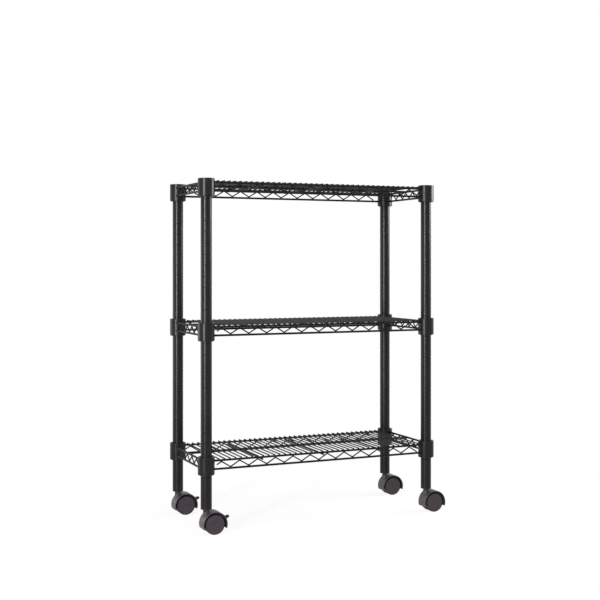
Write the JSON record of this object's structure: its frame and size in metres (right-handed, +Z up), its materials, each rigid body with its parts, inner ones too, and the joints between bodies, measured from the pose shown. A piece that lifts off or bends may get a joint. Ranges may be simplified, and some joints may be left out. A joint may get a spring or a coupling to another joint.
{
  "type": "shelving rack",
  "caption": "Narrow wire shelving rack with round grooved posts, lift-off wire shelves and braked twin-wheel casters, for storage that rolls.",
  "frame": {"origin": "on the floor, midway between the four posts", "axes": "+X along the long side, +Y from the front to the back, +Z up"},
  "size_m": [0.6294, 0.2498, 0.7963],
  "materials": {
    "black_coat": "glossy black powder coat",
    "black_plastic": "satin moulded black",
    "hood_plastic": "smooth moulded black",
    "wheel_plastic": "smooth moulded charcoal",
    "lever_plastic": "moulded black",
    "dark_steel": "black oxide"
  },
  "bodies": {
    "frame": {"post_front_left": "black_coat", "post_cap_front_left": "black_plastic", "post_insert_front_left": "black_plastic", "caster_stem_front_left": "dark_steel", "post_front_right": "black_coat", "post_cap_front_right": "black_plastic", "post_insert_front_right": "black_plastic", "caster_stem_front_right": "dark_steel", "post_back_left": "black_coat", "post_cap_back_left": "black_plastic", "post_insert_back_left": "black_plastic", "caster_stem_back_left": "dark_steel", "post_back_right": "black_coat", "post_cap_back_right": "black_plastic", "post_insert_back_right": "black_plastic", "caster_stem_back_right": "dark_steel", "lower_sleeves": "black_plastic", "middle_sleeves": "black_plastic", "upper_sleeves": "black_plastic"},
    "lower_shelf": {"lower_collars": "black_coat", "lower_top_rails": "black_coat", "lower_bottom_rails": "black_coat", "lower_long_zigzags": "black_coat", "lower_short_zigzags": "black_coat", "lower_deck_wires": "black_coat", "lower_braces": "black_coat"},
    "middle_shelf": {"middle_collars": "black_coat", "middle_top_rails": "black_coat", "middle_bottom_rails": "black_coat", "middle_long_zigzags": "black_coat", "middle_short_zigzags": "black_coat", "middle_deck_wires": "black_coat", "middle_braces": "black_coat"},
    "upper_shelf": {"upper_collars": "black_coat", "upper_top_rails": "black_coat", "upper_bottom_rails": "black_coat", "upper_long_zigzags": "black_coat", "upper_short_zigzags": "black_coat", "upper_deck_wires": "black_coat", "upper_braces": "black_coat"},
    "caster_front_left": {"caster_hood_front_left": "hood_plastic", "caster_axle_front_left": "dark_steel"},
    "near_wheel_front_left": {"near_wheel_front_left": "wheel_plastic"},
    "far_wheel_front_left": {"far_wheel_front_left": "wheel_plastic"},
    "brake_lever_front_left": {"brake_lever_front_left": "lever_plastic"},
    "caster_front_right": {"caster_hood_front_right": "hood_plastic", "caster_axle_front_right": "dark_steel"},
    "near_wheel_front_right": {"near_wheel_front_right": "wheel_plastic"},
    "far_wheel_front_right": {"far_wheel_front_right": "wheel_plastic"},
    "caster_back_left": {"caster_hood_back_left": "hood_plastic", "caster_axle_back_left": "dark_steel"},
    "near_wheel_back_left": {"near_wheel_back_left": "wheel_plastic"},
    "far_wheel_back_left": {"far_wheel_back_left": "wheel_plastic"},
    "brake_lever_back_left": {"brake_lever_back_left": "lever_plastic"},
    "caster_back_right": {"caster_hood_back_right": "hood_plastic", "caster_axle_back_right": "dark_steel"},
    "near_wheel_back_right": {"near_wheel_back_right": "wheel_plastic"},
    "far_wheel_back_right": {"far_wheel_back_right": "wheel_plastic"}
  },
  "joints": [
    {"name": "lower_shelf_lift", "type": "slide", "parent": "frame", "child": "lower_shelf", "axis": [0, 0, 1], "range_m": [0, 0.25]},
    {"name": "middle_shelf_lift", "type": "slide", "parent": "frame", "child": "middle_shelf", "axis": [0, 0, 1], "range_m": [0, 0.275]},
    {"name": "upper_shelf_lift", "type": "slide", "parent": "frame", "child": "upper_shelf", "axis": [0, 0, 1], "range_m": [0, 0.035]},
    {"name": "swivel_front_left", "type": "hinge", "parent": "frame", "child": "caster_front_left", "pos_m": [-0.2825, -0.106, 0.0228], "axis": [0, 0, 1], "continuous": true},
    {"name": "near_roll_front_left", "type": "hinge", "parent": "caster_front_left", "child": "near_wheel_front_left", "pos_m": [-0.2657, -0.106, 0.0228], "axis": [0, 1, 0], "continuous": true},
    {"name": "far_roll_front_left", "type": "hinge", "parent": "caster_front_left", "child": "far_wheel_front_left", "pos_m": [-0.2657, -0.106, 0.0228], "axis": [0, 1, 0], "continuous": true},
    {"name": "brake_front_left", "type": "hinge", "parent": "caster_front_left", "child": "brake_lever_front_left", "pos_m": [-0.2532, -0.106, 0.02735], "axis": [0, 1, 0], "range_deg": [0, 14]},
    {"name": "swivel_front_right", "type": "hinge", "parent": "frame", "child": "caster_front_right", "pos_m": [0.2825, -0.106, 0.0228], "axis": [0, 0, 1], "continuous": true},
    {"name": "near_roll_front_right", "type": "hinge", "parent": "caster_front_right", "child": "near_wheel_front_right", "pos_m": [0.2993, -0.106, 0.0228], "axis": [0, 1, 0], "continuous": true},
    {"name": "far_roll_front_right", "type": "hinge", "parent": "caster_front_right", "child": "far_wheel_front_right", "pos_m": [0.2993, -0.106, 0.0228], "axis": [0, 1, 0], "continuous": true},
    {"name": "swivel_back_left", "type": "hinge", "parent": "frame", "child": "caster_back_left", "pos_m": [-0.2825, 0.106, 0.0228], "axis": [0, 0, 1], "continuous": true},
    {"name": "near_roll_back_left", "type": "hinge", "parent": "caster_back_left", "child": "near_wheel_back_left", "pos_m": [-0.2657, 0.106, 0.0228], "axis": [0, 1, 0], "continuous": true},
    {"name": "far_roll_back_left", "type": "hinge", "parent": "caster_back_left", "child": "far_wheel_back_left", "pos_m": [-0.2657, 0.106, 0.0228], "axis": [0, 1, 0], "continuous": true},
    {"name": "brake_back_left", "type": "hinge", "parent": "caster_back_left", "child": "brake_lever_back_left", "pos_m": [-0.2532, 0.106, 0.02735], "axis": [0, 1, 0], "range_deg": [0, 14]},
    {"name": "swivel_back_right", "type": "hinge", "parent": "frame", "child": "caster_back_right", "pos_m": [0.2825, 0.106, 0.0228], "axis": [0, 0, 1], "continuous": true},
    {"name": "near_roll_back_right", "type": "hinge", "parent": "caster_back_right", "child": "near_wheel_back_right", "pos_m": [0.2993, 0.106, 0.0228], "axis": [0, 1, 0], "continuous": true},
    {"name": "far_roll_back_right", "type": "hinge", "parent": "caster_back_right", "child": "far_wheel_back_right", "pos_m": [0.2993, 0.106, 0.0228], "axis": [0, 1, 0], "continuous": true}
  ]
}
